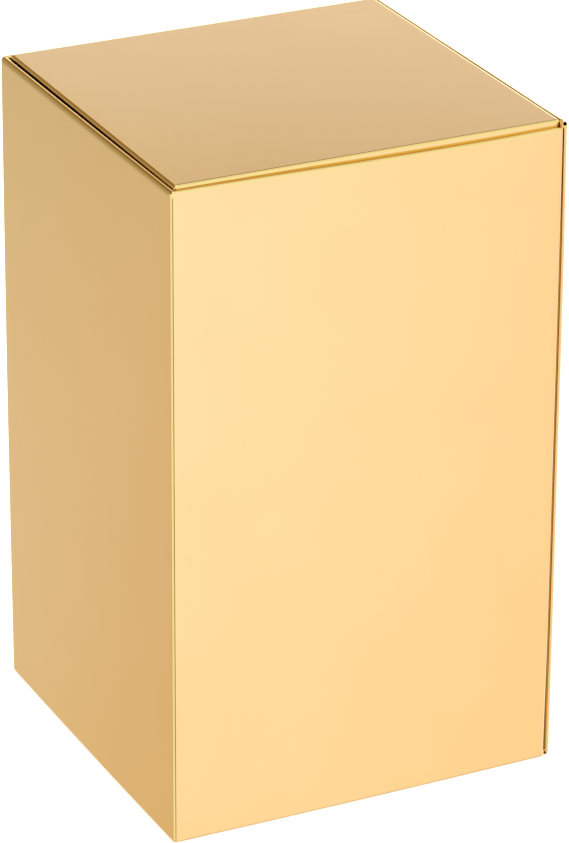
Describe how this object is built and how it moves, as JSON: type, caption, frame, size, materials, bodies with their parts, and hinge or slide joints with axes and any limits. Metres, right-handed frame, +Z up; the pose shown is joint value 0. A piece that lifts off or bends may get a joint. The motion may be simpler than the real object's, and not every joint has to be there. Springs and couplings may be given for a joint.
{
  "type": "cremation urn",
  "caption": "Tall square box urn folded from polished bronze sheet, with rounded hems, one seamed corner and a lift-off pan lid.",
  "frame": {"origin": "middle of the underside, on the surface that the urn stands on", "axes": "+Z up along the height; the plain front faces -Y and the seamed corner is at +X -Y"},
  "size_m": [0.128, 0.124, 0.2105],
  "materials": {
    "polished_bronze_walls": "mirror-polished gold-toned bronze sheet under clear lacquer",
    "polished_bronze_lid": "mirror-polished gold-toned bronze sheet under clear lacquer",
    "satin_bronze_base": "satin, unlacquered bronze sheet"
  },
  "bodies": {
    "root": {"body_shell": "polished_bronze_walls", "top_lid": "polished_bronze_lid", "base_pan": "satin_bronze_base"}
  },
  "joints": []
}
